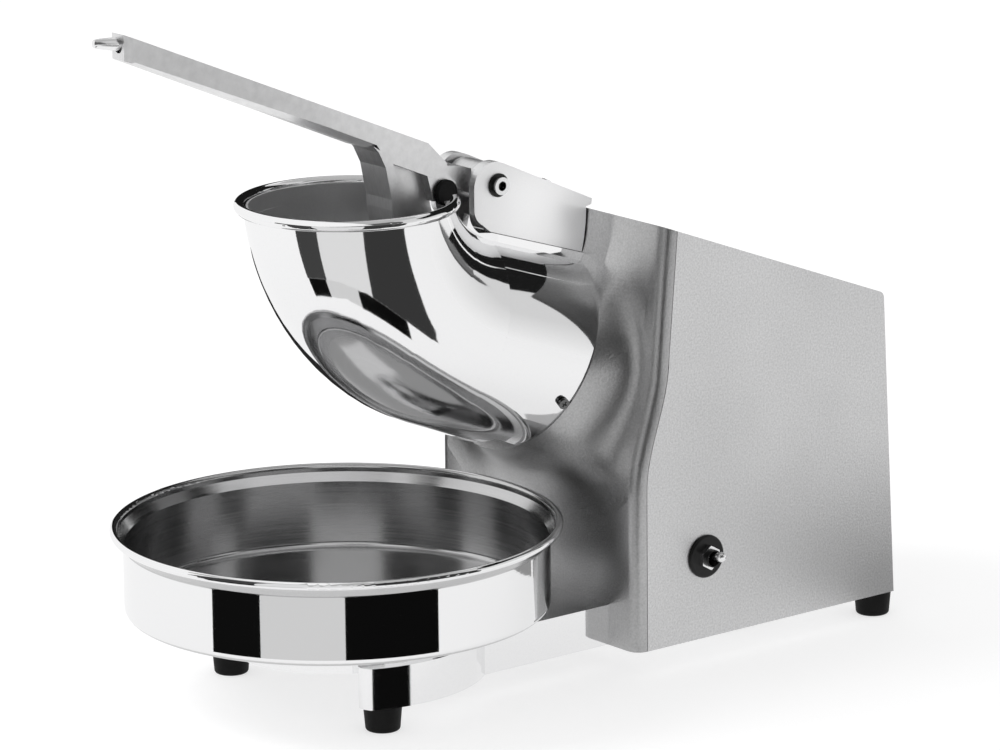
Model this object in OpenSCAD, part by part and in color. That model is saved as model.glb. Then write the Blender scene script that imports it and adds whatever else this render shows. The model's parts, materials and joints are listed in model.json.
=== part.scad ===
// Electric ice shaver with a lever press and a loose bowl.
// Millimetres, +Z up, the front faces -Y, the origin is the middle of the footprint on the table.
// Inside the file, y runs from the bowl's axis towards the rear, and place() shifts it to the origin.

/* [Bowl] */
// Outer radius of the bowl's rolled rim
bowl_rim_r = 107.5; // [100:0.5:110]
// Height of the bowl from its bottom to the top of its rim
bowl_h = 42; // [36:0.5:46]
// Sheet thickness of the bowl
bowl_t = 1; // [0.8:0.1:1.5]

/* [Base] */
// Height of a rubber foot
foot_h = 12; // [10:0.5:14]
// Radius of a rubber foot at its top
foot_r = 9.2; // [8:0.1:9.5]
// Height of the base's stem and wings
stem_h = 20; // [17:0.5:22]
// Width of the stem
stem_w = 109; // [96:1:112]
// Radius of the two wings that carry the front feet
wing_r = 71; // [70:0.5:74]
// Radius of the round pad under the bowl
pad_r = 53; // [52:0.5:60]
// Height of the pad's top above the stem's top
pad_rise = 10.5; // [8:0.5:12]

/* [Housing] */
// Width of the housing
body_w = 152; // [146:1:158]
// Height of the housing's top at the seam with the front casting
body_top_z = 216; // [213:0.5:220]
// Distance from the bowl's axis to the housing's rear at the bottom
body_back = 288; // [280:1:294]
// Fall of the housing's top towards the rear, in degrees
top_fall = 20.8; // [20:0.1:22]
// Wall of the front casting
cast_t = 4; // [3.5:0.1:4.5]
// Sheet of the rear cover
cover_t = 2; // [1.5:0.1:2.5]

/* [Hopper] */
// Outer radius of the hopper elbow at its mouth
tube_r = 49; // [48.5:0.1:49.5]
// Wall of the hopper elbow
tube_t = 3; // [2.5:0.1:3]
// Height of the mouth's rim
mouth_z = 237; // [236:0.1:238]

/* [Lever] */
// Width of the lever
lever_w = 20; // [18:0.5:20]
// Outer width of the hinge bracket
bracket_w = 34; // [33.6:0.1:35]
// Thickness of each bracket cheek
cheek_t = 4; // [3.5:0.1:4]
// Radius of the hinge bolt
bolt_r = 3; // [2.5:0.1:3.2]

/* [Blade disc] */
// Radius of the blade disc
disc_r = 43; // [40:0.5:43.5]
// Radius of the motor shaft
shaft_r = 6; // [5:0.5:6.5]

/* [Hidden] */
$fn = 72;
eps = 0.01;
seat_gap = 0.3;          // play between pieces that are laid on each other

middle_y = 82.62;                       // from the bowl's axis to the middle of the footprint
base_z = foot_h;
stem_z = base_z + stem_h;
pad_z = stem_z + pad_rise;

// Seat of the elbow on the front casting: its middle, its radius and its backward lean
seat_y = 113.5;
seat_z = 151;
seat_r = tube_r + 2;
seat_lean = 27.5;
seat_land = 0.8;                     // flat ring of the casting round the elbow
// Bend of the elbow, round a centre above and behind the mouth
mouth_y = 9;
bend_r = 85;
bend_y = mouth_y + bend_r;
bend_z = 249;
bend_deg = 69.4;
run_l = 52.9;                        // straight run from the bend to the seat
run_growth = 2;                      // growth of the tube's radius over the run
rim_r = 2.6;                         // section of the mouth's rolled rim

// Lever's pivot
pivot_y = 86.4;
pivot_z = 237.5;
hub_r = 9.5;
hub_w = lever_w + 0.4;
lever_fall = 23.15;                  // slope of the lever's top in the raised pose
press_deg = 20;
plate_deg = 52;                      // angle below level of the pusher plate about the pivot
plate_r = 38;
plate_mid = 74.5;                    // radius of the plate's middle about the pivot

// Housing profile
seam_y0 = 128;                       // seam with the cover, below the flare
corner_r = 6.5;                      // rounding between the casting's front and sides
top_slope = tan(top_fall);
back_top_y = body_back - 7.6;

// Motor axis, blade disc and shaving chamber, measured forward of the seat
disc_back = 16;
disc_t = 4;
motor_r = 38;
motor_l = 92;
wall_z = 5;                           // thickness of the casting's wall behind the seat

// Switch on the right side
switch_y = 164.7;
switch_z = 53;

function clamp01(t) = min(1, max(0, t));
function smooth(t) = let (s = clamp01(t)) s * s * (3 - 2 * s);
function lerp(a, b, t) = a + (b - a) * t;
// Points of an arc round (y, z), n steps from angle a0 to a1
function arc(y, z, r, a0, a1, n = 12) = [for (i = [0 : n])
    let (a = lerp(a0, a1, i / n)) [y + r * cos(a), z + r * sin(a)]];
// Seam between the front casting and the cover at a height
function seam_y(z) = seam_y0 + 14 * smooth((z - 92) / 62) + 0.09 * max(0, z - 154);
// Front face of the casting away from the flare
function face_y(z) = seam_y(z) - corner_r;
seam_top_y = seam_y(body_top_z);
function top_z(y) = body_top_z - (y - seam_top_y) * top_slope;

module place() {
    translate([0, -middle_y, 0]) children();
}
// Extrudes a side profile given in y and z, w wide and centred on x = 0
module side(w) {
    translate([-w / 2, 0, 0]) rotate([90, 0, 90]) linear_extrude(w) children();
}
// Frame on the seat: +Z runs down the motor's axis to the rear, +Y points down
module seat_frame() {
    translate([0, seat_y, seat_z]) rotate([-90 - seat_lean, 0, 0]) children();
}
// Frame on the hinge: X along the bolt
module pivot_frame() {
    translate([0, pivot_y, pivot_z]) children();
}

// Closed tube of skin through rings that meet end to end
module loft_loop(rings) {
    n = len(rings[0]);
    m = len(rings);
    points = [for (r = rings) each r];
    faces = [for (j = [0 : m - 1]) for (i = [0 : n - 1])
        let (i2 = (i + 1) % n,
            j2 = (j + 1) % m,
            a = j * n + i, b = j * n + i2, c = j2 * n + i, d = j2 * n + i2)
        each [[a, b, d], [a, d, c]]];
    polyhedron(points, faces, convexity = 8);
}

// ---- front casting ----
// Heights at which the casting's side is sampled, closest along the seam's curve
side_steps = [0, 0.2, 0.36, 0.41, 0.45, 0.49, 0.53, 0.57, 0.61, 0.65, 0.69, 0.74, 0.82, 0.9, 1];
top_steps = 12;
bottom_steps = 6;
flare_reach = 46;
flare_power = 2.6;
// Ring of [x, z] round the front, w half wide, from low to high
function frame_ring(w, low, high) = concat(
    [for (t = side_steps) [w, lerp(low, high, t)]],
    [for (i = [1 : top_steps - 1]) [lerp(w, -w, i / top_steps), high]],
    [for (i = [len(side_steps) - 1 : -1 : 0]) [-w, lerp(low, high, side_steps[i])]],
    [for (i = [1 : bottom_steps - 1]) [lerp(-w, w, i / bottom_steps), low]]);
// Ring of a circle on the seat plane, back behind it, facing the same way as the frame ring q
function seat_ring(q, r, back) = [for (p = q)
    let (a = atan2((p[1] - seat_z) / cos(seat_lean), p[0]))
    [r * cos(a), seat_y + r * sin(a) * sin(seat_lean) + back * cos(seat_lean),
        seat_z + r * sin(a) * cos(seat_lean) - back * sin(seat_lean)]];
// Ring of the flare, t of the way from the seat ring s to the frame ring q, moved back by inset
function flare_ring(s, q, t, inset) = [for (i = [0 : len(q) - 1])
    let (run = norm([q[i][0] - s[i][0], q[i][1] - s[i][2]]),
        part = t * min(1, flare_reach / run),
        x = lerp(s[i][0], q[i][0], part),
        z = lerp(s[i][2], q[i][1], part),
        g = 1 - pow(1 - t, flare_power))
    [x, lerp(s[i][1] + (z - s[i][2]) * 0.25, face_y(z) + inset, g), z]];
front_top_z = body_top_z + corner_r * top_slope;
module casting_skin() {
    half = body_w / 2;
    outer = frame_ring(half - corner_r, base_z, front_top_z);
    side_ring = frame_ring(half, base_z, body_top_z);
    inner = frame_ring(half - cast_t, base_z + cast_t, body_top_z - cast_t);
    seat_front = seat_ring(outer, seat_r + seat_land, 0);
    seat_back = seat_ring(outer, seat_r - 1, wall_z);
    rings = concat(
        [seat_ring(outer, bearing_r, 0), seat_front],
        [for (t = [0.08, 0.18, 0.3, 0.44, 0.6, 0.8, 1]) flare_ring(seat_front, outer, t, 0)],
        [[for (p = outer) [p[0], face_y(p[1]), p[1]]]],
        [for (turn = [30, 60, 90]) [for (i = [0 : len(outer) - 1])
            let (z = lerp(outer[i][1], side_ring[i][1], 1 - cos(turn)),
                x = lerp(outer[i][0], side_ring[i][0], sin(turn)))
            [x, face_y(z) + corner_r * (turn == 90 ? 1 : 1 - cos(turn)), z]]],
        [[for (p = inner) [p[0], seam_y(p[1]), p[1]]], [for (p = inner) [p[0], face_y(p[1]) + cast_t, p[1]]]],
        [for (t = [1, 0.6, 0.3]) flare_ring(seat_back, inner, t, cast_t)],
        [seat_back, seat_ring(outer, bearing_r, wall_z)]);
    loft_loop(rings);
}
module front_casting() {
    color("darkgray") place() difference() {
        union() {
            casting_skin();
            // Spigot inside the elbow, open at the outlet
            difference() {
                hopper_run(tube_t + 0.25, 0);
                hopper_screw_holes(1.75);
                hopper_run(tube_t + 3.4, 4);
                seat_frame() translate([0, 0, -108]) cube([200, 200, 200], center = true);
                seat_frame() translate([0, 0, 100.5]) cube([200, 200, 200], center = true);
                seat_frame() outlet_cut();
            }
        }
        // Motor screw holes
        motor_screw_places() translate([0, 0, -10]) cylinder(r = motor_hole_r, h = 40);
        for (x = [-1, 1], z = base_bolt_z) translate([x * base_bolt_x, 100, z])
            rotate([-90, 0, 0]) cylinder(r = 2.2, h = 40);
    }
}
// Slot in the elbow's underside where the shaved ice falls out, in the seat's frame
outlet_half = 22;
module outlet_cut() {
    translate([-outlet_half, 30, 2 - disc_back]) cube([2 * outlet_half, 40, disc_back - 1.5]);
}

// ---- rear cover and bottom plate ----
function cover_back(inset) = concat(
    arc(back_top_y - 4, top_z(back_top_y) - 4 + 1.2, 4 - inset, 90 - top_fall, 3, 6),
    [[body_back - inset, base_z]]);
module cover_profile(inset, front) {
    seam = [for (z = [base_z : 6 : body_top_z - 2]) [seam_y(z) + front, z]];
    top = [[seam_top_y + front, top_z(seam_top_y + front) - inset]];
    polygon(concat(seam, top, cover_back(inset)));
}
module rear_cover() {
    color("silver") place() difference() {
        side(body_w) cover_profile(0, seat_gap);
        translate([0, 0, -eps]) difference() {
            side(body_w - 2 * cover_t) cover_profile(cover_t, -10);
        }
        translate([0, switch_y, switch_z]) rotate([0, 90, 0]) cylinder(r = switch_hole_r, h = body_w);
        gland_frame() cylinder(r = gland_r + 0.2, h = 40, center = true);
        // Air slots low in the rear wall
        for (i = [-4 : 4]) translate([i * 7 - 1.5, body_back - 20, 95]) cube([3, 40, 34]);
        for (x = cover_screw_x) cover_screw_frame(x) cylinder(r = 2.1, h = 20, center = true);
    }
}
cover_screw_x = [-0.36 * body_w, 0, 0.36 * body_w];
// On the cover's leaning back, low down
module cover_screw_frame(x) {
    translate([x, body_back - 6 * tan(back_lean), base_z + 6]) rotate([back_lean - 90, 0, 0]) children();
}
module bottom_plate() {
    front = seam_y0 + 2 * seat_gap;
    w = body_w - 2 * cover_t - 2 * seat_gap;
    color("gray") place() difference() {
        union() {
            translate([-w / 2, front, base_z]) cube([w, body_back - cover_t - seat_gap - front, 2]);
            // Blocks that the cover is screwed to
            for (x = cover_screw_x) translate([x - 6, body_back - cover_t - seat_gap - 9, base_z])
                cube([12, 8.2, 12]);
        }
        // Air slots under the motor
        for (i = [-5 : 5]) translate([i * 8 - 2, 200, base_z - 1]) cube([4, 40, 5]);
        for (x = [-1, 1]) translate([x * foot_rear_x, foot_rear_y, base_z - 1]) cylinder(r = 2.6, h = 10);
        for (x = cover_screw_x) cover_screw_frame(x) cylinder(r = 1.65, h = 24, center = true);
    }
}
module cover_screws() {
    color("silver") place() for (x = cover_screw_x) cover_screw_frame(x) {
        translate([0, 0, 0.1]) cylinder(r1 = 3.6, r2 = 2.6, h = 1.8);
        translate([0, 0, -8]) cylinder(r = 1.6, h = 8.2);
    }
}

// ---- base ----
foot_front_x = 60;
foot_front_y = -20;
foot_rear_x = body_w / 2 - foot_r;
foot_rear_y = body_back - foot_r + 3.4;
base_bolt_x = stem_w / 2 - 12;
base_wall = 5;
wing_corner_r = 5;
base_bolt_z = [base_z + 9.5, base_z + stem_h - 5];
pad_lip_z = base_z + 13;             // underside of the pad's rim in front
// Wing on the right: its rounded front corner, its arc and its end on the stem's side
module wing_outline() {
    side_x = stem_w / 2;
    polygon(concat([[36, -14], [38, -18]],
        arc(59, -27, wing_corner_r, 215, 290, 6),
        arc(0, 0, wing_r, -25, 44, 14),
        [[side_x - 1.6, 53], [side_x, 58], [side_x, 62], [36, 62]]));
}
module base_casting() {
    front_y = seam_y0 - corner_r;
    color("silver") place() difference() {
        union() {
            translate([0, 0, pad_lip_z]) cylinder(r = pad_r, h = pad_z - pad_lip_z);
            translate([0, 0, base_z]) linear_extrude(stem_h) {
                wing_outline();
                mirror([1, 0]) wing_outline();
                translate([-stem_w / 2, 30]) square([stem_w, front_y - 30]);
            }
        }
        // Hollow underside of the stem and of the pad
        translate([-stem_w / 2 + base_wall, 20, base_z - 1])
            cube([stem_w - 2 * base_wall, front_y - 28, stem_h - base_wall + 1]);
        translate([0, 0, base_z - 1]) cylinder(r = pad_r - base_wall - 3, h = pad_z - base_z - base_wall + 1);
        for (x = [-1, 1]) translate([x * foot_front_x, foot_front_y, base_z - 1]) cylinder(r = 2.1, h = 14);
        for (x = [-1, 1], z = base_bolt_z) translate([x * base_bolt_x, front_y - 10, z])
            rotate([-90, 0, 0]) cylinder(r = 2.1, h = 20);
    }
}
module base_bolts() {
    back = seam_y0 - corner_r + cast_t;
    color("gray") place() for (x = [-1, 1], z = base_bolt_z)
        translate([x * base_bolt_x, back, z]) rotate([90, 0, 0]) {
            cylinder(r = 2, h = 12);
            translate([0, 0, -3]) cylinder(r = 4.2, h = 3, $fn = 6);
        }
}
foot_floor = 4;                      // rubber between the screw's head and the base
foot_head_r = 3.4;
foot_screw_r = 2;
module foot(x, y) {
    color("black") place() translate([x, y, 0]) difference() {
        rotate_extrude() polygon(concat([[0, 0], [foot_r - 2.4, 0]],
            arc(foot_r - 2.4, 1.5, 1.5, -70, -5, 5),
            [[foot_r, foot_h], [0, foot_h]]));
        translate([0, 0, -1]) cylinder(r = foot_head_r + 1.2, h = foot_h - foot_floor + 1);
        cylinder(r = foot_screw_r + 0.2, h = 40, center = true);
    }
}
module foot_front_l() { foot(-foot_front_x, foot_front_y); }
module foot_front_r() { foot(foot_front_x, foot_front_y); }
module foot_rear_l() { foot(-foot_rear_x, foot_rear_y); }
module foot_rear_r() { foot(foot_rear_x, foot_rear_y); }
module foot_screws() {
    color("silver") place() for (s = [-1, 1], front = [true, false])
        translate([s * (front ? foot_front_x : foot_rear_x), front ? foot_front_y : foot_rear_y, foot_h - foot_floor]) {
            translate([0, 0, -3]) cylinder(r = foot_head_r, h = 3);
            cylinder(r = foot_screw_r, h = foot_floor + 2);
        }
}

// ---- hopper elbow ----
// Middle of the bend's lower end, +Z on along the tube
module bend_end() {
    translate([0, bend_y - bend_r * cos(bend_deg), bend_z - bend_r * sin(bend_deg)])
        rotate([bend_deg - 180, 0, 0]) children();
}
// The bend and the straight run behind it, past the seat by past
module hopper_run(inset, past) {
    translate([0, bend_y, bend_z]) rotate([-90, 0, 0]) rotate([0, 90, 0])
        rotate_extrude(angle = bend_deg) translate([bend_r, 0]) circle(r = tube_r - inset);
    run = run_l + 8 + past;
    bend_end() cylinder(r1 = tube_r - inset, r2 = tube_r - inset + run_growth * run / run_l, h = run);
}
// Saddle under the bracket, in side view
module saddle_profile() {
    polygon(concat([[130, 170], [bracket_back_y, bracket_back_z - seat_gap], pv(-5, -21.9 - seat_gap)],
        arc(pivot_y - 5.8, pivot_z - 10.3, heel_r + 2.4, 236, 184, 8), [pv(-20.4, -18), pv(-6, -42)]));
}
module hopper_elbow() {
    color("gainsboro") place() difference() {
        union() {
            difference() {
                hopper_run(0, 0);
                translate([-100, -100, mouth_z]) cube([200, 200, 60]);
            }
            side(bracket_w + 3) saddle_profile();
            // Rolled rim
            translate([0, mouth_y + 0.5, mouth_z])
                rotate_extrude() translate([tube_r + 1.7, 0]) circle(r = rim_r, $fn = 24);
            bracket_screw_frame() translate([0, 0, -36]) cylinder(r = 5.5, h = 36 - plate_t / cos(bracket_fall) - seat_gap);
        }
        hopper_run(tube_t, 4);
        // Bore across the join of the bend and the straight run
        bend_end() cylinder(r = tube_r - tube_t - 0.6, h = 2, center = true);
        translate([0, bend_y - bend_r, bend_z - 20]) cylinder(r = tube_r - tube_t, h = 40);
        seat_frame() translate([0, 0, -0.05]) cylinder(r = 90, h = 60);
        seat_frame() outlet_cut();
        bracket_screw_frame() translate([0, 0, -24]) cylinder(r = 2.2, h = 30);
        // Rim cut back where the lever drops in
        translate([-notch_half, mouth_y + 36, bumper_floor_z]) cube([2 * notch_half, 26, 60]);
        translate([-rim_notch_half, mouth_y + 36, mouth_z - 3.2]) cube([2 * rim_notch_half, 18, 60]);
        hopper_screw_holes(1.8);
    }
}
// Places of the screws through the elbow's skirt, +Z outwards from the tube's axis
module hopper_screw_places() {
    for (a = hopper_screw_deg) seat_frame() rotate(a) translate([0, 0, hopper_screw_z]) rotate([0, 90, 0])
        children();
}
module hopper_screw_holes(r) {
    hopper_screw_places() cylinder(r = r, h = 90);
}
hopper_screw_deg = [23.5, 156.5];
hopper_screw_z = -4.2;
hopper_head_r = 2.7;
notch_half = 15;
rim_notch_half = 27;
module hopper_screws() {
    color("silver") place() hopper_screw_places() {
        translate([0, 0, seat_r - tube_t - 2.6]) cylinder(r = 1.7, h = tube_t + 3.2);
        difference() {
            translate([0, 0, seat_r + 0.5]) cylinder(r = hopper_head_r, h = 1.8);
            // Cross recess
            for (turn = [0, 90]) translate([0, 0, seat_r + 2.3]) rotate(turn)
                cube([0.7, 3, 1.6], center = true);
        }
    }
}

// ---- bracket and hinge ----
plate_t = 3;
slot_half = lever_w / 2 + 1.3;
slot_back = 14.6;                    // run of the lever's slot behind the pivot
nose_r = 12;                         // rounding of the cheeks round the hinge
heel_r = 10.6;                       // rounding of the cheeks' lower front corner
bracket_fall = 24.6;
bracket_top = 11.5;                  // height of the bracket's top over the pivot
bracket_back_y = pivot_y + 51;       // lower rear corner of the cheeks
bracket_back_z = pivot_z - 40;
bracket_l = 57.7;                    // reach of the bracket's top behind the pivot
// A point at a place behind and above the hinge
function pv(back, up) = [pivot_y + back, pivot_z + up];
function bracket_up(back) = bracket_top - (back - 0.6) * tan(bracket_fall);
// Outline of a cheek in side view, its rear edge just clear of the casting's face
module cheek_outline() {
    polygon(concat(
        [[bracket_back_y, bracket_back_z], pv(52.5, -33.5), pv(53.6, -25.5), pv(54, -18.1)],
        [pv(bracket_l - 0.5, -17.4), pv(bracket_l, bracket_up(bracket_l)), pv(4, bracket_up(4))],
        arc(pivot_y - 2.4, pivot_z - 0.4, nose_r, 76, 180, 12),
        arc(pivot_y - 5.8, pivot_z - 10.3, heel_r - 2, 178, 242, 10), [pv(-5, -21.9)]));
}
// Room between the cheeks, under the bracket's top
module channel_outline() {
    roof = plate_t / cos(bracket_fall);
    polygon([pv(-26, -47), pv(47.6, -47), pv(50.6, -32), pv(51, bracket_up(51) - roof), pv(4, bracket_up(4) - roof),
        pv(-3, bracket_top - plate_t), pv(-26, bracket_top - plate_t)]);
}
module lever_bracket() {
    color("gainsboro") place() difference() {
        side(bracket_w) cheek_outline();
        side(bracket_w - 2 * cheek_t) channel_outline();
        // Slot for the lever
        translate([-slot_half, pivot_y - 26, pivot_z - 32]) cube([2 * slot_half, 26 + slot_back, 60]);
        pivot_frame() rotate([0, 90, 0]) cylinder(r = bolt_r + 0.05, h = 60, center = true);
        bracket_screw_frame() cylinder(r = 2.3, h = 20, center = true);
    }
}
bracket_screw_back = 42;
// On the bracket's sloping top, at its screw
module bracket_screw_frame() {
    pivot_frame() translate([0, bracket_screw_back, bracket_up(bracket_screw_back)])
        rotate([-bracket_fall, 0, 0]) children();
}
module bracket_screw() {
    color("silver") place() bracket_screw_frame() {
        translate([0, 0, -20]) cylinder(r = 2.1, h = 20 + 0.1);
        translate([0, 0, 0.1]) cylinder(r = 3, h = 1.6);
    }
}
bolt_head_r = 4.3;
bolt_head_h = 2.6;
washer_r = 5.7;
washer_t = 0.8;
module hinge_bolt() {
    half = bracket_w / 2;
    color("silver") place() pivot_frame() rotate([0, 90, 0]) difference() {
        union() {
            translate([0, 0, -half - 7]) cylinder(r = bolt_r, h = 2 * half + 7 + washer_t + 0.5);
            translate([0, 0, half + washer_t]) cylinder(r = bolt_head_r, h = bolt_head_h);
        }
        translate([0, 0, half + washer_t + bolt_head_h - 2]) cylinder(r = 2.4, h = 4, $fn = 6);
    }
}
module hinge_washer() {
    color("black") place() pivot_frame() rotate([0, 90, 0]) translate([0, 0, bracket_w / 2]) difference() {
        cylinder(r = washer_r, h = washer_t - 0.05);
        translate([0, 0, -1]) cylinder(r = bolt_r + 0.02, h = 9);
    }
}
module hinge_nut() {
    color("silver") place() pivot_frame() rotate([0, -90, 0]) translate([0, 0, bracket_w / 2]) difference() {
        cylinder(r = 5.6, h = 5, $fn = 6);
        translate([0, 0, -1]) cylinder(r = bolt_r + 0.02, h = 9);
    }
}
module hinge_spacers() {
    inner = bracket_w / 2 - cheek_t;
    start = hub_w / 2 + seat_gap;
    color("silver") place() pivot_frame() for (turn = [90, 270]) rotate([0, turn, 0]) difference() {
        translate([0, 0, start]) cylinder(r = 5.2, h = inner - start - 0.1);
        cylinder(r = bolt_r + 0.03, h = 60);
    }
}

// ---- lever ----
lever_tip_y = -118;
lever_tip_z = 327.7;                 // pin in the lever's front end
tip_out = 10.88;
function polar(r, a) = [pivot_y - r * cos(a), pivot_z - r * sin(a)];
// Height of the lever's top line at a place in front of the pivot
lever_rise = tan(lever_fall);
lever_rest = 22;                     // height over the pivot of the top line's rear end
lever_back = 30.9;                   // and its distance in front of the pivot
function lever_top(front) = pivot_z + lever_rest + (front - lever_back) * lever_rise;
tip_front = pivot_y - lever_tip_y;
lever_end = 25;                      // end of the lever's full width in front of the pivot
lever_neck_w = lever_w - 4;
edge_fall = 0.437;                   // slope of the lever's lower lines
function crease(front) = pivot_z + 27.5 + (front - 66.5) * edge_fall;
// Full width of the lever: its top, its chamfered end, the gusset over the arm and the crease
module lever_profile() {
    chamfer = lever_end + 11;
    polygon([[lever_tip_y, lever_top(tip_front)], [pivot_y - chamfer, lever_top(chamfer)],
        pv(-lever_end, 13.1), pv(-lever_end, 4), pv(-33.5, 7.1), pv(-59, 18), pv(-63.6, 23.3),
        [pivot_y - 66.5, crease(66.5)], [lever_tip_y, crease(tip_front)]]);
}
// Bevelled underside from the arm to the tip
module lever_underside() {
    hull() {
        side(lever_w) polygon([[pivot_y - 66.5, crease(66.5) + 1], [pivot_y - 66.5, crease(66.5)],
            [lever_tip_y, crease(tip_front)], [lever_tip_y, crease(tip_front) + 1]]);
        side(lever_w - 7) polygon([[pivot_y - 72, crease(72) - 3.2], [pivot_y - 66.5, crease(66.5)],
            [lever_tip_y, crease(tip_front)], [lever_tip_y, crease(tip_front) - 3.6]]);
    }
}
// Narrower neck between the lever's end and its hub
module neck_profile() {
    polygon([pv(-46, 14.5), pv(-33, 14), pv(-lever_end, 11.5), pv(-17, 10.4), pv(-9, 8),
        pv(-8.4, -4.5), pv(-24.4, 2.2), pv(-30, 5.8)]);
}
module lever_plan() {
    half = lever_w / 2;
    tip_half = 7.5;
    taper_y = pivot_y - 96;
    nose = [[3.9, lever_tip_y - 1], [tip_half, lever_tip_y + 4], [half, taper_y], [half, pivot_y]];
    polygon(concat(nose, [for (i = [3 : -1 : 0]) [-nose[i][0], nose[i][1]]]));
}
bumper_y = pivot_y - 26.8;
bumper_z = pivot_z - 0.7;
bumper_r = 6.2;
bumper_reach = 26.8;
bumper_floor_z = pivot_z - bumper_reach * sin(press_deg + 1.5) - bumper_r - 0.4;
arm_r = 58;
arm_flange_t = 4;
module arm_flange() {
    polygon(concat([pv(-68.5, 27.2), pv(-65.2, 23.6), pv(-61.3, 15.8)],
        [for (i = [0 : 10]) polar(arm_r, 5.2 * i)],
        [for (i = [10 : -1 : 0]) polar(arm_r - arm_flange_t, 5.2 * i)],
        [pv(-56.8, 16.5), pv(-58.4, 20.5)]));
}
web_r = 31.5;                        // the web's rear edge about the pivot
module arm_web() {
    polygon(concat([pv(-60.4, 20.5), pv(-58.4, 12.5)], [for (i = [0 : 10]) polar(arm_r - 2, 5.1 * i)],
        [for (i = [10 : -1 : 0]) polar(web_r, 5.1 * i)], [pv(-30.4, 6.5), pv(-52.4, 18.5)]));
}
module bumper_lug() {
    polygon([pv(-33, -4.4), pv(-26.8, -5), pv(-22.4, -1.5), pv(-19.5, 3), pv(-25.5, 8), pv(-37, 9.8)]);
}
module lever_arm() {
    color("lightgray") place() difference() {
        union() {
            intersection() {
                union() {
                    side(60) lever_profile();
                    lever_underside();
                }
                linear_extrude(400) lever_plan();
            }
            side(lever_neck_w) neck_profile();
            pivot_frame() rotate([0, 90, 0]) cylinder(r = hub_r, h = hub_w, center = true);
            side(lever_w) arm_flange();
            side(8) arm_web();
            // Foot of the arm, seated on the pusher plate
            pusher_frame() translate([-9, -60, 0]) cube([18, 23, 4.5]);
            // Lug that carries the rubber bumpers
            side(lever_w - 2 * seat_gap) bumper_lug();
        }
        pivot_frame() rotate([0, 90, 0]) cylinder(r = bolt_r + 0.05, h = 60, center = true);
        pusher_frame() for (y = pusher_screw_y) translate([0, y, -1]) cylinder(r = pusher_screw_r + 0.05, h = 5.4);
        tip_frame() translate([0, 0, -8]) cylinder(r = tip_r + 0.02, h = 9);
    }
}
// Frame on the top of the pusher plate: +Z up from the plate, -Y away from the hinge
module pusher_frame() {
    pivot_frame() rotate([plate_deg, 0, 0]) children();
}
pusher_screw_y = [-55, -43];
pusher_screw_r = 1.6;
tip_r = 2.9;
tip_fall = 14;
// Frame on the lever's front end: +Z out of it
module tip_frame() {
    translate([0, lever_tip_y - 0.2, lever_tip_z]) rotate([90 - tip_fall, 0, 0]) children();
}
module lever_tip() {
    color("silver") place() tip_frame() {
        translate([0, 0, -8]) cylinder(r = tip_r, h = 8 + tip_out);
        translate([0, 0, tip_out]) sphere(r = tip_r);
    }
}
module pusher_plate() {
    color("silver") place() pusher_frame() translate([0, -plate_mid, 0]) difference() {
        union() {
            translate([0, 0, -4]) cylinder(r = plate_r, h = 4);
            // Round studs that grip the ice
            for (ring = [1 : 2], i = [0 : 5 * ring + 1]) rotate(i * 360 / (5 * ring + 2))
                translate([15 * ring, 0, -6]) cylinder(r = 2.2, h = 3);
        }
        for (y = pusher_screw_y) translate([0, y + plate_mid, -12]) cylinder(r = 1.8, h = 20);
        for (y = pusher_screw_y) translate([0, y + plate_mid, -8]) cylinder(r = 3.6, h = 5);
    }
}
module pusher_screws() {
    color("gray") place() pusher_frame() for (y = pusher_screw_y) translate([0, y, -3]) {
        translate([0, 0, -2]) cylinder(r = 3.2, h = 2);
        cylinder(r = pusher_screw_r, h = 7);
    }
}
module lever_bumpers() {
    color("black") place() translate([0, bumper_y, bumper_z]) for (s = [-1, 1]) rotate([0, s * 90, 0])
        translate([0, 0, lever_w / 2 + 0.05]) {
            cylinder(r = bumper_r, h = 1.8);
            translate([0, 0, 1.8 - eps]) cylinder(r1 = bumper_r, r2 = bumper_r - 0.8, h = 0.7);
        }
}

// ---- motor, shaft and blade disc ----
bearing_r = 14;
motor_hole_r = 2.2;
module motor_screw_places() {
    for (a = [45 : 90 : 315]) seat_frame() rotate(a) translate([motor_r - 6, 0, 0]) children();
}
module motor_flange() {
    color("gray") place() difference() {
        seat_frame() translate([0, 0, wall_z + 0.1]) cylinder(r = motor_r, h = 8);
        seat_frame() cylinder(r = shaft_r + 2, h = 60);
        motor_screw_places() cylinder(r = motor_hole_r, h = 60);
    }
}
module motor_can() {
    color("dimgray") place() seat_frame() difference() {
        union() {
            translate([0, 0, wall_z + 8.2]) cylinder(r = motor_r + 2, h = motor_l - 12);
            translate([0, 0, wall_z + motor_l - 4]) cylinder(r = 22, h = 12);
        }
        translate([0, 0, wall_z]) cylinder(r = shaft_r + 16, h = motor_l - 6);
        cylinder(r = shaft_r + 0.5, h = motor_l + 10);
    }
}
module motor_screws() {
    color("silver") place() motor_screw_places() {
        cylinder(r = motor_hole_r - 0.2, h = wall_z + 8);
        translate([0, 0, -2.4]) cylinder(r = 3.6, h = 2.4);
    }
}
module front_bearing() {
    color("silver") place() seat_frame() difference() {
        translate([0, 0, 0.2]) cylinder(r = bearing_r - 0.1, h = wall_z - 0.2);
        translate([0, 0, -1]) cylinder(r = shaft_r + 0.05, h = 20);
    }
}
module rotor_shaft() {
    color("silver") place() seat_frame() {
        translate([0, 0, -disc_back - disc_t - 9]) cylinder(r = shaft_r - 2, h = disc_back + disc_t + 10);
        translate([0, 0, -disc_back]) cylinder(r = shaft_r, h = disc_back + wall_z + motor_l + 2);
        translate([0, 0, wall_z + 14]) cylinder(r = shaft_r + 14, h = motor_l - 26);
    }
}
blade_screw_x = [18, 33];
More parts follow.
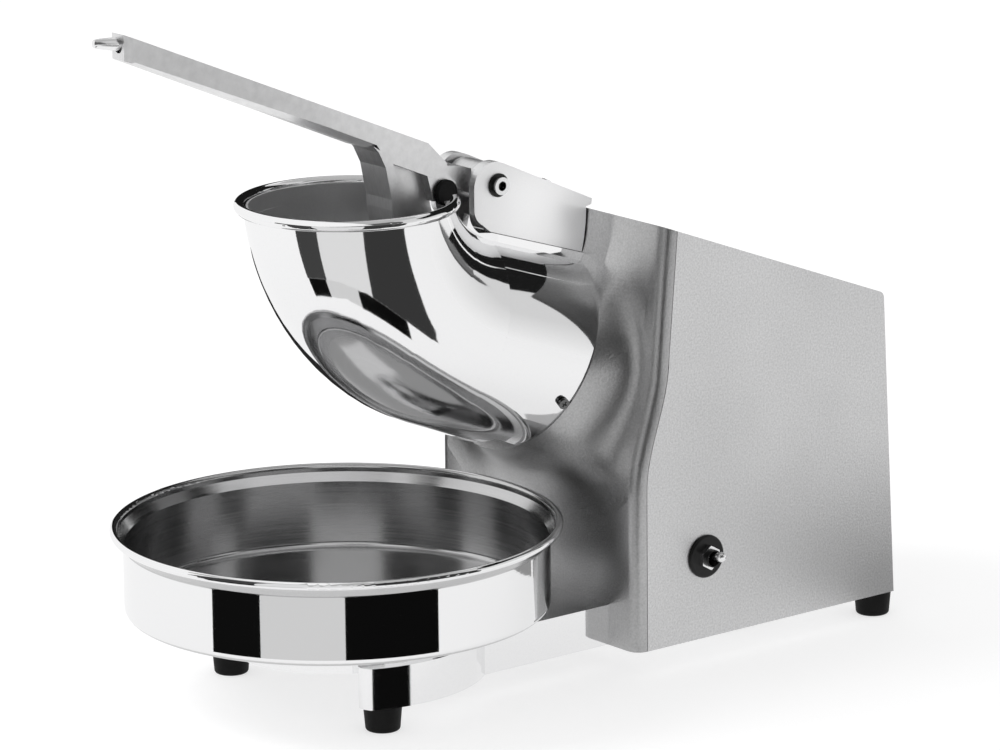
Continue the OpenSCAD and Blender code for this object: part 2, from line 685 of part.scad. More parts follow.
module blade_disc() {
    color("silver") place() seat_frame() translate([0, 0, -disc_back - disc_t]) difference() {
        cylinder(r = disc_r, h = disc_t - 0.05);
        translate([0, 0, -1]) cylinder(r = shaft_r - 2 + 0.02, h = 10);
        for (a = [0, 180]) rotate(a) translate([12, 3.5, -1]) cube([27, 5, 10]);
        for (a = [0, 180], x = blade_screw_x) rotate(a) translate([x, -4, -1]) cylinder(r = 1.65, h = 10);
        for (a = [90, 270]) rotate(a) translate([28, 0, -1]) cylinder(r = 2.5, h = 10);
    }
}
blade_t = 2;
blade_l = 27;
// Frame on the disc's front face, under a blade turned by turn
module blade_frame(turn) {
    seat_frame() translate([0, 0, -disc_back - disc_t - blade_t - 0.1]) rotate(turn) children();
}
module blade(turn) {
    color("lightsteelblue") place() blade_frame(turn) difference() {
        // Bevelled knife
        translate([12, -9, 0]) rotate([90, 0, 90]) linear_extrude(blade_l)
            polygon([[0, 0], [11, 0], [14, 0.3], [11, blade_t], [0, blade_t]]);
        for (x = blade_screw_x) translate([x, -4, -1]) cylinder(r = 1.7, h = 5);
    }
}
module blade_1() { blade(0); }
module blade_2() { blade(180); }
module blade_screws() {
    color("silver") place() for (turn = [0, 180], x = blade_screw_x)
        blade_frame(turn) translate([x, -4, -1.6]) {
            cylinder(r = 2.8, h = 1.6);
            cylinder(r = 1.6, h = 3.6);
        }
}
module disc_nut() {
    color("silver") place() seat_frame() translate([0, 0, -disc_back - disc_t - 6.1]) difference() {
        cylinder(r = 7.5, h = 6, $fn = 6);
        translate([0, 0, -1]) cylinder(r = shaft_r - 2 + 0.02, h = 10);
    }
}

// ---- switch and cord inlet ----
bushing_r = 4.3;                     // threaded neck of the switch
switch_hole_r = bushing_r + seat_gap;
bezel_t = 1.9;
bat_deg = -12;                       // up; the bat tips down through twice this
module switch_frame() {
    translate([body_w / 2, switch_y, switch_z]) rotate([0, 90, 0]) children();
}
module switch_body() {
    color("dimgray") place() switch_frame() {
        translate([-14, -8, -cover_t - 20.2]) cube([28, 16, 20]);
        difference() {
            translate([0, 0, -cover_t - 0.3]) cylinder(r = bushing_r, h = cover_t + 7);
            translate([0, 0, -cover_t]) cylinder(r1 = 2.6, r2 = 4.1, h = 12);
        }
        for (i = [-1 : 1]) translate([i * 9 - 1, -3, -cover_t - 28]) cube([2, 6, 8]);
    }
}
module switch_bezel() {
    color("black") place() switch_frame() rotate_extrude()
        polygon(concat([[bushing_r + 0.1, 0.1], [10.6, 0.1]], arc(9.4, bezel_t - 1.2, 1.2, 0, 90, 6),
            [[bushing_r + 0.1, bezel_t]]));
}
module switch_nut() {
    color("silver") place() switch_frame() translate([0, 0, bezel_t + 0.05]) difference() {
        cylinder(r = 6.1, h = 2.6, $fn = 6);
        translate([0, 0, -1]) cylinder(r = bushing_r + 0.05, h = 9);
    }
}
toggle_z = 2.5;                      // pivot of the bat above the cover's face
module switch_toggle() {
    color("silver") place() switch_frame() translate([0, 0, toggle_z]) rotate([0, bat_deg, 0]) {
        cylinder(r1 = 1.3, r2 = 2.5, h = 9.5);
        translate([0, 0, 9.5]) sphere(r = 2.5, $fn = 32);
        sphere(r = 2, $fn = 32);
        rotate([90, 0, 0]) cylinder(r = 0.8, h = 4.6, center = true);
    }
}
gland_x = -40;
gland_z = 40;
gland_r = 8;
back_lean = atan((body_back - back_top_y) / (top_z(back_top_y) - base_z));
// On the cover's leaning back, at the cord's inlet
module gland_frame() {
    translate([gland_x, body_back - (gland_z - base_z) * tan(back_lean), gland_z])
        rotate([back_lean - 90, 0, 0]) children();
}
module cable_gland() {
    color("black") place() gland_frame() difference() {
        union() {
            translate([0, 0, -10]) cylinder(r = gland_r, h = 11);
            translate([0, 0, 0.15]) cylinder(r = 10.5, h = 3, $fn = 6);
            translate([0, 0, 3.1]) cylinder(r1 = 8.5, r2 = 6, h = 6.9);
        }
        translate([0, 0, -20]) cylinder(r = 3.6, h = 40);
    }
}
module gland_nut() {
    color("black") place() gland_frame() translate([0, 0, -cover_t - 4.2]) difference() {
        cylinder(r = 11, h = 4, $fn = 6);
        translate([0, 0, -1]) cylinder(r = gland_r + 0.02, h = 9);
    }
}

// ---- bowl ----
bowl_wall_r = bowl_rim_r - 6.1;
bowl_corner = 3.5;
module ice_bowl() {
    top = pad_z + seat_gap + bowl_h;
    bead = 1.9;
    low = pad_z + seat_gap;
    module wall(inset) {
        lip_r = bowl_rim_r - bead - 1 - inset;
        polygon(concat([[0, low + inset], [bowl_wall_r - bowl_corner, low + inset]],
            arc(bowl_wall_r - bowl_corner, low + bowl_corner, bowl_corner - inset, -90, 0, 6),
            [[bowl_wall_r - inset, top - 8], [lip_r, top - 2 * bead], [lip_r, top - bead + inset], [0, top - bead + inset]]));
    }
    color("whitesmoke") place() {
        rotate_extrude($fn = 120) difference() {
            wall(0);
            wall(bowl_t);
        }
        rotate_extrude($fn = 120) translate([bowl_rim_r - bead, top - bead]) circle(r = bead, $fn = 20);
    }
}

front_casting();
rear_cover();
bottom_plate();
base_casting();
base_bolts();
foot_front_l();
foot_front_r();
foot_rear_l();
foot_rear_r();
foot_screws();
hopper_elbow();
hopper_screws();
lever_bracket();
bracket_screw();
hinge_bolt();
hinge_washer();
hinge_nut();
hinge_spacers();
lever_arm();
lever_tip();
pusher_plate();
pusher_screws();
lever_bumpers();
motor_flange();
motor_can();
motor_screws();
front_bearing();
rotor_shaft();
blade_disc();
blade_1();
blade_2();
blade_screws();
disc_nut();
switch_body();
switch_bezel();
switch_nut();
switch_toggle();
cable_gland();
gland_nut();
cover_screws();
ice_bowl();
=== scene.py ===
import json
import math

import bmesh
import bpy
from mathutils import Matrix, Vector


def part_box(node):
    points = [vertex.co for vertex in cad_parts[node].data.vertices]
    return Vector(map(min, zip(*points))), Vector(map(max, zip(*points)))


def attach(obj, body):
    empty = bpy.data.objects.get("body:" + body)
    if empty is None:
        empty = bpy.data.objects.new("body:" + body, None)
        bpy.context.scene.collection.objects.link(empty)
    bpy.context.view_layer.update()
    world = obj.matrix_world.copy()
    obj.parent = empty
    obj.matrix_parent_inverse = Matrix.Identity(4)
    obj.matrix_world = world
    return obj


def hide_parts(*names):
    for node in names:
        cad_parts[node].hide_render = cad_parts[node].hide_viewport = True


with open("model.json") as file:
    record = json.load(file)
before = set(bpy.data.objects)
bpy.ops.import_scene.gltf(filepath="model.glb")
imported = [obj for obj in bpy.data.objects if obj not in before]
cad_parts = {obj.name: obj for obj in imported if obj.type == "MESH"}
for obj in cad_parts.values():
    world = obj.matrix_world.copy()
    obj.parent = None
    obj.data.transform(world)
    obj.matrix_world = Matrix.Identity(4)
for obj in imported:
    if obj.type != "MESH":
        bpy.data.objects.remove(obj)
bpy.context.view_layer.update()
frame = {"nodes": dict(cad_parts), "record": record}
nodes = frame["nodes"]

# All lengths are in metres, in the frame of the CAD model.
# The bowl stands upright, so its axis is a vertical line at x = 0, y = BOWL_Y.
low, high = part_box("ice_bowl")
BOWL_Y = (low.y + high.y) / 2

# The camera: its place, the point that it looks at and its roll, and its focal length in pixels of the image's width
CAMERA_PLACE = Vector((2.0688, BOWL_Y - 1.5475, 0.8024))
CAMERA_AIM = Vector((0.0, BOWL_Y + 0.0999, 0.1393))
ROLL_DEG = -0.62
FOCAL_PX = 5659.0
IMAGE_PX = 1000.0
SENSOR_MM = 36.0
# The azimuth that it looks from, in degrees from the front (-Y) towards +X
CAMERA_AZ = 51.47

# The middle of the bowl's wall and floor, where its two finishes meet, and the flare of its lip between two heights
BOWL_WALL_R = 0.1009
BOWL_FLOOR_Z = low.z + 0.0005
LIP_LOW, LIP_HIGH, LIP_FLARE = high.z - 0.009, high.z - 0.0045, 0.004

# The elbow's bend: its centre behind the bowl's axis, its height, its radius and the middle of its wall
BEND_Y, BEND_Z, BEND_R, TUBE_MID = 0.094, 0.249, 0.085, 0.0475
# Its mouth is blasted above one height, and in front of a line behind the bowl's axis
MOUTH_LOW, MOUTH_BACK = 0.18, 0.06

# The radius of the hinge bolt's socket, within which its shade is painted
SOCKET_R = 0.0023

# Half the width over which one finish gives way to another
EDGE, TUBE_EDGE, LOW_EDGE, BACK_EDGE = 0.0002, 0.0003, 0.004, 0.002

# How close two vertices are when they are welded, how deep a pin's end is, and how far the knob is let into the lever
WELD, PIN_END, LET_IN = 1e-5, 0.0006, 0.0001
# Edges of turned pieces stay sharp from this angle, in degrees, and those of the casting from the next
TURNED_SHARP, CAST_SHARP = 50, 34

# The share of white light in the floor as the camera sees it and in reflections, and that light's strength
FLOOR_SEEN, FLOOR_MIRRORED, FLOOR_GLOW = 0.50, 0.75, 1.25
# The world's strength as light on the object. It is 1, which is white, for the camera and in reflections.
WORLD_LIGHT = 0.75


# ---- camera ----
def place_in_scene(name, data):
    """Makes an object of the data and links it to the scene."""
    obj = bpy.data.objects.new(name, data)
    bpy.context.scene.collection.objects.link(obj)
    return obj


def looking(place, aim):
    """The matrix of a camera or lamp that stands at place and looks at aim."""
    return Matrix.Translation(place) @ (aim - place).to_track_quat("-Z", "Y").to_matrix().to_4x4()


def make_camera():
    data = bpy.data.cameras.new("camera")
    data.sensor_fit = "HORIZONTAL"
    data.sensor_width = SENSOR_MM
    data.lens = FOCAL_PX * SENSOR_MM / IMAGE_PX
    data.clip_start = 0.05
    data.clip_end = 30.0
    cam = place_in_scene("camera", data)
    cam.matrix_world = looking(CAMERA_PLACE, CAMERA_AIM) @ Matrix.Rotation(math.radians(ROLL_DEG), 4, "Z")
    bpy.context.scene.camera = cam


make_camera()


# ---- node helpers ----
def grey(v):
    return (v, v, v * 1.005)


def new_material(name):
    """A material with a Principled shader on its output."""
    mat = bpy.data.materials.new(name)
    mat.use_nodes = True
    tree = mat.node_tree
    tree.nodes.clear()
    out = tree.nodes.new("ShaderNodeOutputMaterial")
    bsdf = tree.nodes.new("ShaderNodeBsdfPrincipled")
    tree.links.new(bsdf.outputs[0], out.inputs[0])
    return mat, tree, bsdf


def add(tree, kind, **values):
    """A new node. Each value goes to the input of that name, or else to the node's own property."""
    node = tree.nodes.new(kind)
    for key, value in values.items():
        if key in node.inputs:
            node.inputs[key].default_value = value
        else:
            setattr(node, key, value)
    return node


def object_place(tree):
    return tree.nodes.new("ShaderNodeTexCoord").outputs["Object"]


def noise(tree, scale, detail=3.0, stretch=(1, 1, 1)):
    node = add(tree, "ShaderNodeTexNoise", Scale=scale, Detail=detail, Roughness=0.55)
    mapping = add(tree, "ShaderNodeMapping", Scale=stretch)
    tree.links.new(object_place(tree), mapping.inputs[0])
    tree.links.new(mapping.outputs[0], node.inputs["Vector"])
    return node.outputs[0]


def math_node(tree, operation, a, b):
    """A Math node of two linked values, or of a linked one and a plain number."""
    node = add(tree, "ShaderNodeMath", operation=operation)
    tree.links.new(a, node.inputs[0])
    if isinstance(b, float):
        node.inputs[1].default_value = b
    else:
        tree.links.new(b, node.inputs[1])
    return node.outputs[0]


def spread(tree, value, low, high, start=0.3, end=0.7):
    """Maps the value's range from start to end onto low to high. The default range is most of a noise's."""
    node = add(tree, "ShaderNodeMapRange")
    for index, number in ((1, start), (2, end), (3, low), (4, high)):
        node.inputs[index].default_value = number
    tree.links.new(value, node.inputs[0])
    return node.outputs[0]


def tint(tree, value, dark, light):
    node = add(tree, "ShaderNodeMix", data_type="RGBA")
    node.inputs[6].default_value = (*dark, 1)
    node.inputs[7].default_value = (*light, 1)
    tree.links.new(value, node.inputs[0])
    return node.outputs[2]


def mix_tone(tree, mask, outside, inside):
    """Mixes two greys by a mask. Each is a plain number or a linked colour."""
    node = add(tree, "ShaderNodeMix", data_type="RGBA")
    tree.links.new(mask, node.inputs[0])
    for index, tone in ((6, outside), (7, inside)):
        if isinstance(tone, float):
            node.inputs[index].default_value = (*grey(tone), 1)
        else:
            tree.links.new(tone, node.inputs[index])
    return node.outputs[2]


def mix_rough(tree, mask, outside, inside):
    """Mixes two roughnesses by a mask. The outer one is a plain number or a linked value."""
    node = add(tree, "ShaderNodeMix", data_type="FLOAT")
    tree.links.new(mask, node.inputs[0])
    if isinstance(outside, float):
        node.inputs[2].default_value = outside
    else:
        tree.links.new(outside, node.inputs[2])
    tree.links.new(inside, node.inputs[3])
    return node.outputs[0]


def bump(tree, value, strength, distance):
    node = add(tree, "ShaderNodeBump", Strength=strength, Distance=distance)
    tree.links.new(value, node.inputs["Height"])
    return node.outputs[0]


def radius_from(tree, place, middle, across):
    """Distance of a place from a middle, counting only the axes where across is 1."""
    off = add(tree, "ShaderNodeVectorMath", operation="SUBTRACT")
    off.inputs[1].default_value = middle
    tree.links.new(place, off.inputs[0])
    flat = add(tree, "ShaderNodeVectorMath", operation="MULTIPLY")
    flat.inputs[1].default_value = across
    tree.links.new(off.outputs[0], flat.inputs[0])
    length = add(tree, "ShaderNodeVectorMath", operation="LENGTH")
    tree.links.new(flat.outputs[0], length.inputs[0])
    return length.outputs["Value"]


def split_xyz(tree, place):
    split = tree.nodes.new("ShaderNodeSeparateXYZ")
    tree.links.new(place, split.inputs[0])
    return split.outputs


# ---- materials ----
def metal(name, tone, rough, grain, relief, stretch=(1, 1, 1)):
    """A metal: tone (dark, light) follows its fine grain, and roughness (low, high) wanders slowly."""
    mat, tree, bsdf = new_material(name)
    bsdf.inputs["Metallic"].default_value = 1.0
    slow = noise(tree, 14.0, 2.0)
    fine = noise(tree, grain, 4.0, stretch)
    tree.links.new(tint(tree, fine, grey(tone[0]), grey(tone[1])), bsdf.inputs["Base Color"])
    tree.links.new(spread(tree, slow, rough[0], rough[1]), bsdf.inputs["Roughness"])
    tree.links.new(bump(tree, fine, relief[0], relief[1]), bsdf.inputs["Normal"])
    return mat


def dull(name, tone, rough, grain, relief, gloss=0.3):
    """Rubber, plastic or enamel: a faint mottle under a fine pebbled grain."""
    mat, tree, bsdf = new_material(name)
    bsdf.inputs["Specular IOR Level"].default_value = gloss
    slow = noise(tree, 20.0, 3.0)
    fine = noise(tree, grain, 4.0)
    tree.links.new(tint(tree, slow, grey(tone[0]), grey(tone[1])), bsdf.inputs["Base Color"])
    tree.links.new(spread(tree, fine, rough - 0.06, rough + 0.06), bsdf.inputs["Roughness"])
    tree.links.new(bump(tree, fine, relief[0], relief[1]), bsdf.inputs["Normal"])
    return mat


def bowl_metal(name):
    """Spun steel: mirror-bright outside, drawn and softly brushed in rings inside."""
    mat, tree, bsdf = new_material(name)
    bsdf.inputs["Metallic"].default_value = 1.0
    place = object_place(tree)
    radius = radius_from(tree, place, (0.0, BOWL_Y, 0.0), (1.0, 1.0, 0.0))
    height = split_xyz(tree, place)["Z"]
    # Inside: nearer the axis than the wall's middle, which follows the lip's flare, and above the floor's middle
    wall = spread(tree, height, BOWL_WALL_R, BOWL_WALL_R + LIP_FLARE, LIP_LOW, LIP_HIGH)
    near = spread(tree, math_node(tree, "SUBTRACT", radius, wall), 1.0, 0.0, -EDGE, EDGE)
    above = spread(tree, height, 0.0, 1.0, BOWL_FLOOR_Z - EDGE, BOWL_FLOOR_Z + EDGE)
    inside = math_node(tree, "MULTIPLY", near, above)
    rings = tree.nodes.new("ShaderNodeCombineXYZ")
    tree.links.new(radius, rings.inputs["X"])
    tree.links.new(height, rings.inputs["Z"])
    line = add(tree, "ShaderNodeTexNoise", Scale=900.0, Detail=3.0)
    tree.links.new(rings.outputs[0], line.inputs["Vector"])
    drawn = line.outputs[0]
    cloud = noise(tree, 30.0, 3.0)
    inner = math_node(tree, "ADD", spread(tree, drawn, 0.10, 0.18), spread(tree, cloud, 0.0, 0.06))
    tree.links.new(mix_rough(tree, inside, 0.035, inner), bsdf.inputs["Roughness"])
    brushed = tint(tree, drawn, grey(0.50), grey(0.62))
    tree.links.new(mix_tone(tree, inside, 0.88, brushed), bsdf.inputs["Base Color"])
    tree.links.new(bump(tree, drawn, 0.03, 0.0001), bsdf.inputs["Normal"])
    return mat


def elbow_metal(name):
    """The elbow: polished outside, left as cast and softly blasted inside its mouth."""
    mat, tree, bsdf = new_material(name)
    bsdf.inputs["Metallic"].default_value = 1.0
    place = object_place(tree)
    axes = split_xyz(tree, place)
    # Distance from the middle line of the bend, a circle in the plane x = 0
    reach = radius_from(tree, place, (0.0, BOWL_Y + BEND_Y, BEND_Z), (0.0, 1.0, 1.0))
    across = tree.nodes.new("ShaderNodeCombineXYZ")
    tree.links.new(math_node(tree, "SUBTRACT", reach, BEND_R), across.inputs["X"])
    tree.links.new(axes["X"], across.inputs["Y"])
    depth = add(tree, "ShaderNodeVectorMath", operation="LENGTH")
    tree.links.new(across.outputs[0], depth.inputs[0])
    inside = spread(tree, depth.outputs["Value"], 1.0, 0.0, TUBE_MID - TUBE_EDGE, TUBE_MID + TUBE_EDGE)
    # Only the mouth: it fades out below MOUTH_LOW and behind MOUTH_BACK
    back = BOWL_Y + MOUTH_BACK
    above = spread(tree, axes["Z"], 0.0, 1.0, MOUTH_LOW - LOW_EDGE, MOUTH_LOW + LOW_EDGE)
    ahead = spread(tree, axes["Y"], 0.0, 1.0, back + BACK_EDGE, back - BACK_EDGE)
    inside = math_node(tree, "MULTIPLY", math_node(tree, "MULTIPLY", inside, above), ahead)
    slow = noise(tree, 14.0, 2.0)
    fine = noise(tree, 1100.0, 4.0)
    rough = mix_rough(tree, inside, spread(tree, slow, 0.035, 0.06), spread(tree, fine, 0.40, 0.50))
    tree.links.new(rough, bsdf.inputs["Roughness"])
    polished = tint(tree, fine, grey(0.87), grey(0.91))
    blasted = tint(tree, fine, grey(0.66), grey(0.80))
    tree.links.new(mix_tone(tree, inside, polished, blasted), bsdf.inputs["Base Color"])
    tree.links.new(bump(tree, fine, 0.02, 0.0001), bsdf.inputs["Normal"])
    return mat


def bolt_metal(name, middle):
    """A bolt along X whose socket is painted near black as shade: dark within the socket's radius of its axis."""
    mat = metal(name, (0.66, 0.80), (0.14, 0.22), 1500, (0.08, 0.0001))
    tree = mat.node_tree
    bsdf = next(n for n in tree.nodes if n.bl_idname == "ShaderNodeBsdfPrincipled")
    radius = radius_from(tree, object_place(tree), middle, (0.0, 1.0, 1.0))
    # Painted shade: inside the socket's radius the head's colour is near black, standing in for the shadow in the
    # hollow
    socket = spread(tree, radius, 1.0, 0.0, SOCKET_R - EDGE, SOCKET_R + EDGE)
    steel = bsdf.inputs["Base Color"].links[0].from_socket
    tree.links.new(mix_tone(tree, socket, steel, 0.012), bsdf.inputs["Base Color"])
    return mat


# Each row: name, tone (dark, light), roughness, the grain's scale, relief (strength, distance), and stretch or gloss
METALS = (
    ("polished_aluminium", (0.86, 0.91), (0.04, 0.08), 900, (0.02, 0.0001)),
    ("satin_aluminium", (0.34, 0.61), (0.33, 0.41), 950, (0.4, 0.0003)),
    ("lever_aluminium", (0.66, 0.88), (0.32, 0.42), 900, (0.3, 0.0003), (1, 0.25, 0.25)),
    ("stainless_sheet", (0.42, 0.86), (0.34, 0.44), 1000, (0.4, 0.0003)),
    ("steel_hardware", (0.80, 0.92), (0.14, 0.22), 1500, (0.08, 0.0001)),
    ("blade_steel", (0.60, 0.72), (0.18, 0.28), 700, (0.1, 0.0001), (1, 14, 14)),
)
DULLS = (
    ("motor_enamel", (0.03, 0.05), 0.45, 700, (0.1, 0.0002)),
    ("black_rubber", (0.004, 0.008), 0.60, 900, (0.2, 0.0003), 0.15),
    ("black_plastic", (0.003, 0.006), 0.35, 1100, (0.1, 0.0002), 0.3),
)
MATERIALS = {"bowl_steel": bowl_metal("bowl_steel")}
for make, rows in ((metal, METALS), (dull, DULLS)):
    MATERIALS.update({row[0]: make(*row) for row in rows})

# Four nodes have a material of their own in place of their slot's
hinge_low, hinge_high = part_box("hinge_washer")
OWN = {
    "hopper_elbow": elbow_metal("elbow_aluminium"),
    "hinge_bolt": bolt_metal("bolt_steel_socket_shade", (hinge_low + hinge_high) / 2),
    "hopper_screws": metal("dark_steel", (0.10, 0.20), (0.22, 0.30), 1500, (0.08, 0.0001)),
    "lever_bracket": metal("bracket_aluminium", (0.88, 0.94), (0.42, 0.48), 1300, (0.15, 0.0002)),
}
slot_of = {s["node"]: s["material_slot"] for s in frame["record"]["subparts"]}
for name, node in nodes.items():
    node.data.materials.clear()
    node.data.materials.append(OWN.get(name) or MATERIALS[slot_of[name]])


# ---- pieces that stand for CAD nodes ----
def stand_for(piece, name, body):
    """The node is hidden, and the piece rides on the body in its place."""
    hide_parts(name)
    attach(piece, body)


def smooth_copy(name, body, angle):
    """A copy of the node's solid, shaded smooth apart from edges sharper than the angle, in degrees."""
    node = nodes[name]
    mesh = bpy.data.meshes.new(name + "_smooth")
    bm = bmesh.new()
    bm.from_mesh(node.data)
    bmesh.ops.remove_doubles(bm, verts=bm.verts, dist=WELD)
    bmesh.ops.dissolve_degenerate(bm, edges=bm.edges, dist=WELD)
    bm.to_mesh(mesh)
    bm.free()
    mesh.materials.clear()
    mesh.materials.append(MATERIALS[slot_of[name]])
    if "custom_normal" in mesh.attributes:
        mesh.attributes.remove(mesh.attributes["custom_normal"])
    mesh.shade_smooth()
    mesh.set_sharp_from_angle(angle=math.radians(angle))
    stand_for(place_in_scene(name + "_skin", mesh), name, body)


# The casting's flare has facets in the CAD model
smooth_copy("front_casting", "frame", CAST_SHARP)


def lathe(name, start, axis, profile, stands_for, body):
    """A turned piece: the profile's (along, radius) points in metres go round an axis."""
    steps = 40
    turn = axis.to_track_quat("Z", "Y").to_matrix()
    mesh = bpy.data.meshes.new(name)
    angles = [2 * math.pi * i / steps for i in range(steps)]
    points = [start + turn @ Vector((r * math.cos(a), r * math.sin(a), t)) for t, r in profile for a in angles]
    rings = len(profile)
    faces = []
    for k in range(rings - 1):
        this, above = k * steps, (k + 1) * steps
        faces += [(this + i, this + (i + 1) % steps, above + (i + 1) % steps, above + i) for i in range(steps)]
    faces += [tuple(range(steps))[::-1], tuple(range((rings - 1) * steps, rings * steps))]
    mesh.from_pydata(points, [], faces)
    mesh.materials.append(MATERIALS[slot_of[stands_for]])
    mesh.shade_smooth()
    mesh.set_sharp_from_angle(angle=math.radians(TURNED_SHARP))
    stand_for(place_in_scene(name, mesh), stands_for, body)


def pin_line(name):
    """The middles of a pin's front and back ends."""
    places = sorted((v.co for v in nodes[name].data.vertices), key=lambda p: p.y)
    front = [p for p in places if p.y < places[0].y + PIN_END]
    back = [p for p in places if p.y > places[-1].y - PIN_END]
    return sum(front, Vector()) / len(front), sum(back, Vector()) / len(back)


# The lever's end: a tapered turned knob on the line of its pin, let into the lever's front face
tip_front, tip_back = pin_line("lever_tip")
tip_axis = (tip_front - tip_back).normalized()
face_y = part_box("lever_arm")[0].y
tip_start = tip_back + tip_axis * ((tip_back.y - face_y) / -tip_axis.y - LET_IN)
tip_l = (tip_front - tip_start).length
# Its profile: a small chamfer at the face, as (along, radius), and then (share of the length, radius) out to the end
TIP_FOOT = [(0, 0.0016), (0, 0.0029), (0.0004, 0.0031)]
TIP_TAPER = [(0.2, 0.0030), (0.6, 0.0026), (0.9, 0.0022), (0.97, 0.0018), (1, 0.0009)]
tip_profile = TIP_FOOT + [(share * tip_l, r) for share, r in TIP_TAPER]
lathe("lever_knob", tip_start, tip_axis, tip_profile, "lever_tip", "lever")


# ---- studio ----
# The cards below are seen only in reflections: the camera and diffuse light don't see them, and they cast no shadow.
def plain(name, strength, fade=None):
    """A card's light: one strength, or one that fades from white to that strength between two heights."""
    mat = bpy.data.materials.new(name)
    mat.use_nodes = True
    tree = mat.node_tree
    tree.nodes.clear()
    out = tree.nodes.new("ShaderNodeOutputMaterial")
    light = add(tree, "ShaderNodeEmission", Color=(1, 1, 1, 1), Strength=strength)
    if fade:
        height = split_xyz(tree, object_place(tree))["Z"]
        tree.links.new(spread(tree, height, 1.0, strength, *fade), light.inputs["Strength"])
    tree.links.new(light.outputs[0], out.inputs[0])
    return mat


def hang(name, points, strength, faces=None, fade=None):
    """A studio card through the points, which are its corners unless faces are given."""
    mesh = bpy.data.meshes.new(name)
    mesh.from_pydata(points, [], faces or [tuple(range(len(points)))])
    mesh.materials.append(plain(name, strength, fade))
    obj = place_in_scene(name, mesh)
    obj.visible_camera = False
    obj.visible_diffuse = False
    obj.visible_shadow = False


def card(name, az, z, radius, strength, fade=None):
    """A curved studio card round the bowl's axis. Azimuths run from the camera's side to its right, in degrees."""
    steps = 24
    points, faces = [], []
    for i in range(steps + 1):
        a = math.radians(CAMERA_AZ + az[0] + (az[1] - az[0]) * i / steps)
        points += [(radius * math.sin(a), BOWL_Y - radius * math.cos(a), h) for h in z]
    for i in range(steps):
        faces.append((2 * i, 2 * i + 2, 2 * i + 3, 2 * i + 1))
    hang(name, points, strength, faces, fade)


def corners(x, y):
    """The corners of a rectangle seen from above, in order, with y from the bowl's axis."""
    return [(x[0], BOWL_Y + y[0]), (x[1], BOWL_Y + y[0]), (x[1], BOWL_Y + y[1]), (x[0], BOWL_Y + y[1])]


# Low cards round the bowl, one beside the base's pad, and higher ones whose bands the hopper's elbow shows.
# Then the room: a dark front, and a grey side that is lighter lower down.
# Each row: name, azimuths, heights, radius, strength, and the heights of its fade
LOW, HIGH = (0.0, 0.054), (0.0538, 0.26)
ROOM_R, ROOM_Z = 1.6, 2.2
CARDS = (
    ("low_left", (-53, -30.5), LOW, 0.215, 0.005),
    ("low_middle", (-30.5, 4.5), LOW, 0.217, 0.68),
    ("low_right", (4.5, 44), LOW, 0.215, 0.004),
    ("low_back", (-182, -152), (0.0, 0.16), 0.215, 0.02),
    ("pad_right", (19, 39), (0.0, 0.027), 0.1, 0.004),
    ("high_left", (-54.2, -29.4), HIGH, 0.2155, 0.055),
    ("high_middle", (-29.4, 18.6), HIGH, 0.217, 0.78),
    ("high_right", (18.6, 60.5), HIGH, 0.2155, 0.04),
    ("far_front", (-75, 62), (0.16, ROOM_Z), ROOM_R, 0.12),
    ("side_high", (62, 152), (0.0, ROOM_Z), ROOM_R, 0.70, (-0.1, 0.55)),
)
for row in CARDS:
    card(*row)

# The room's grey ceiling, and a dark screen behind the object, whose lower edge rises towards +X, as (x, z)
hang("ceiling", [(x, y, ROOM_Z) for x, y in corners((-ROOM_R, ROOM_R), (-ROOM_R, ROOM_R))], 0.5)
SCREEN_Y = BOWL_Y + 0.5
SCREEN = ((-1.3, 0.2), (0.115, 0.2), (0.12, 0.3), (0.135, 0.36), (0.17, 0.4), (0.25, 0.43), (0.5, 0.45), (0.5, 0.7),
          (-1.3, 0.7))
hang("screen", [(x, SCREEN_Y, z) for x, z in SCREEN], 0.01)

# A white reflector over the bowl, under the raised lever
REFLECTOR_Z = 0.262
hang("reflector", [(x, y, REFLECTOR_Z) for x, y in corners((-0.06, 0.1), (-0.16, -0.02))], 1.0)
# A small white card between the bracket's cheek and the casting, as (y from the bowl's axis, z)
FILL_X = 0.035
FILL = ((0.098, 0.195), (0.139, 0.195), (0.139, 0.236), (0.098, 0.245))
hang("fill", [(FILL_X, BOWL_Y + y, z) for y, z in FILL], 1.0)
# A grey mat beside the cover, whose brushed side shades off towards its lower rear corner
MAT_Z = 0.001
hang("mat", [(x, y, MAT_Z) for x, y in corners((0.085, 0.22), (0.28, 0.44))], 0.3)


def ray_mask(tree, *kinds):
    """1 for a ray of any of these kinds, and 0 for the others."""
    path = tree.nodes.new("ShaderNodeLightPath")
    value = path.outputs[kinds[0]]
    for kind in kinds[1:]:
        value = math_node(tree, "MAXIMUM", value, path.outputs[kind])
    return value


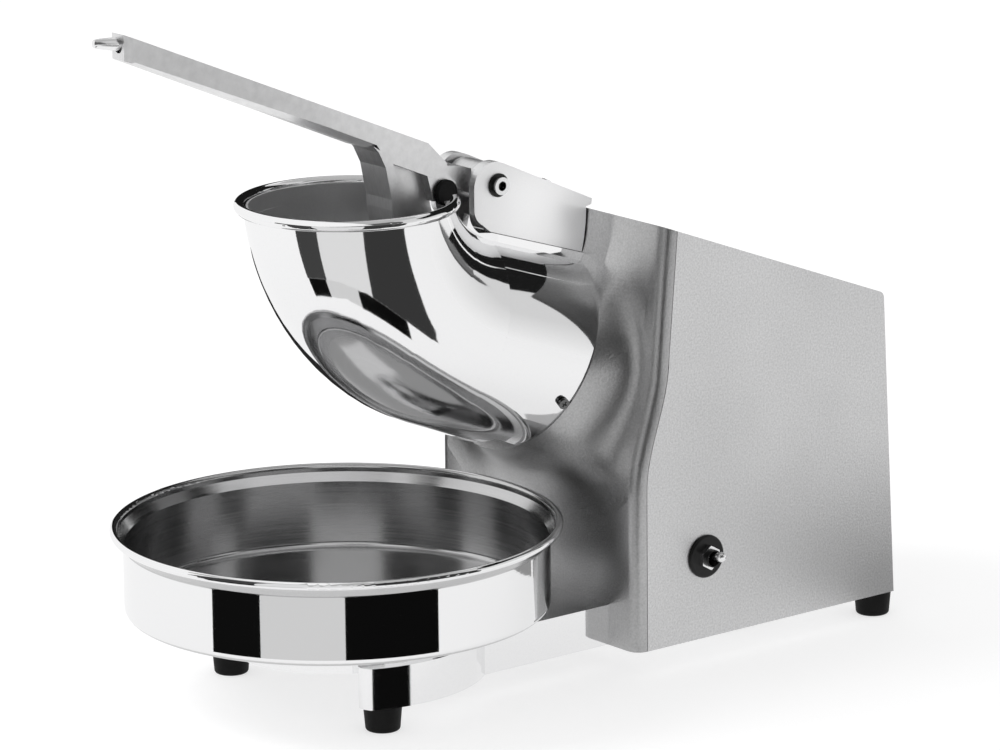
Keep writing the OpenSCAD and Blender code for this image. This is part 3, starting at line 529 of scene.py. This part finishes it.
def make_floor():
    """A pale matt floor that takes the object's shadow, mixed with white light for the camera and in reflections."""
    half = 8.0
    mesh = bpy.data.meshes.new("floor")
    mesh.from_pydata([(-half, -half, 0), (half, -half, 0), (half, half, 0), (-half, half, 0)], [], [(0, 1, 2, 3)])
    mat, tree, bsdf = new_material("floor")
    bsdf.inputs["Roughness"].default_value = 0.9
    bsdf.inputs["Specular IOR Level"].default_value = 0.0
    soft = noise(tree, 3.0, 2.0)
    tree.links.new(tint(tree, soft, grey(0.94), grey(0.96)), bsdf.inputs["Base Color"])
    seen = spread(tree, ray_mask(tree, "Is Camera Ray"), 0.0, FLOOR_SEEN, 0.0, 1.0)
    mirrored = spread(tree, ray_mask(tree, "Is Glossy Ray", "Is Transmission Ray"), 0.0, FLOOR_MIRRORED, 0.0, 1.0)
    light = add(tree, "ShaderNodeEmission", Strength=1.0)
    glow = spread(tree, ray_mask(tree, "Is Camera Ray"), 1.0, FLOOR_GLOW, 0.0, 1.0)
    tree.links.new(glow, light.inputs["Strength"])
    mix = tree.nodes.new("ShaderNodeMixShader")
    tree.links.new(math_node(tree, "MAXIMUM", seen, mirrored), mix.inputs[0])
    tree.links.new(bsdf.outputs[0], mix.inputs[1])
    tree.links.new(light.outputs[0], mix.inputs[2])
    out = next(n for n in tree.nodes if n.bl_idname == "ShaderNodeOutputMaterial")
    tree.links.new(mix.outputs[0], out.inputs[0])
    mesh.materials.append(mat)
    place_in_scene("floor", mesh)


make_floor()


def make_world():
    """White for the camera and in reflections, and a little darker as light on the object."""
    world = bpy.data.worlds.new("world")
    bpy.context.scene.world = world
    world.use_nodes = True
    tree = world.node_tree
    tree.nodes.clear()
    out = tree.nodes.new("ShaderNodeOutputWorld")
    soft = add(tree, "ShaderNodeBackground", Color=(1, 1, 1, 1), Strength=WORLD_LIGHT)
    white = add(tree, "ShaderNodeBackground", Color=(1, 1, 1, 1), Strength=1.0)
    mix = tree.nodes.new("ShaderNodeMixShader")
    tree.links.new(ray_mask(tree, "Is Camera Ray", "Is Glossy Ray", "Is Transmission Ray"), mix.inputs[0])
    tree.links.new(soft.outputs[0], mix.inputs[1])
    tree.links.new(white.outputs[0], mix.inputs[2])
    tree.links.new(mix.outputs[0], out.inputs[0])


make_world()


def lamp(name, place, aim, size, power):
    """A square area lamp that reflections don't show."""
    data = bpy.data.lights.new(name, "AREA")
    data.shape = "SQUARE"
    data.size = size
    data.energy = power
    obj = place_in_scene(name, data)
    obj.matrix_world = looking(Vector(place), Vector(aim))
    obj.visible_glossy = False


lamp("key", (-1.2, -1.6, 2.2), (0, 0, 0.1), 1.2, 30)
bpy.context.scene.view_settings.view_transform = "Standard"
